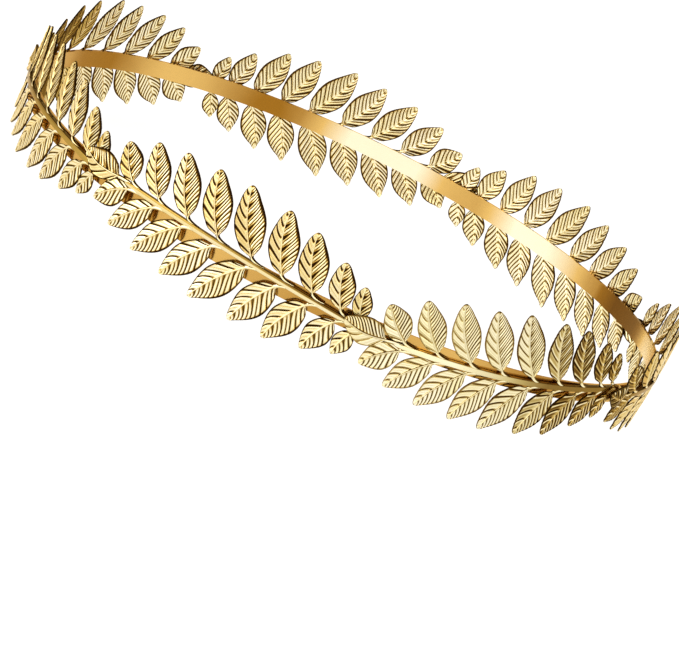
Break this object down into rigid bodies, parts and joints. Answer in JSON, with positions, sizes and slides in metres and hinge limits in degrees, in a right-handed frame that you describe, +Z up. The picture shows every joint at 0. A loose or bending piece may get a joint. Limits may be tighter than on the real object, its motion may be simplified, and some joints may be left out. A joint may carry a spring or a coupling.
{
  "type": "laurel wreath crown",
  "caption": "Thin closed gold band ringed outside by stamped laurel sprays, with paired veined leaves above and below it all the way round.",
  "frame": {"origin": "on the ring's axis, level with the lowest leaf tips that the crown rests on", "axes": "+Z up along the ring's axis, -Y towards the front of the crown"},
  "size_m": [0.1777, 0.1773, 0.0313],
  "materials": {
    "band_metal": "smooth satin gold plate",
    "leaf_metal": "bright gold plate over stamped veins"
  },
  "bodies": {
    "root": {"band": "band_metal", "spray_1": "leaf_metal", "spray_2": "leaf_metal", "spray_3": "leaf_metal", "spray_4": "leaf_metal", "spray_5": "leaf_metal", "spray_6": "leaf_metal", "spray_7": "leaf_metal"}
  },
  "joints": []
}
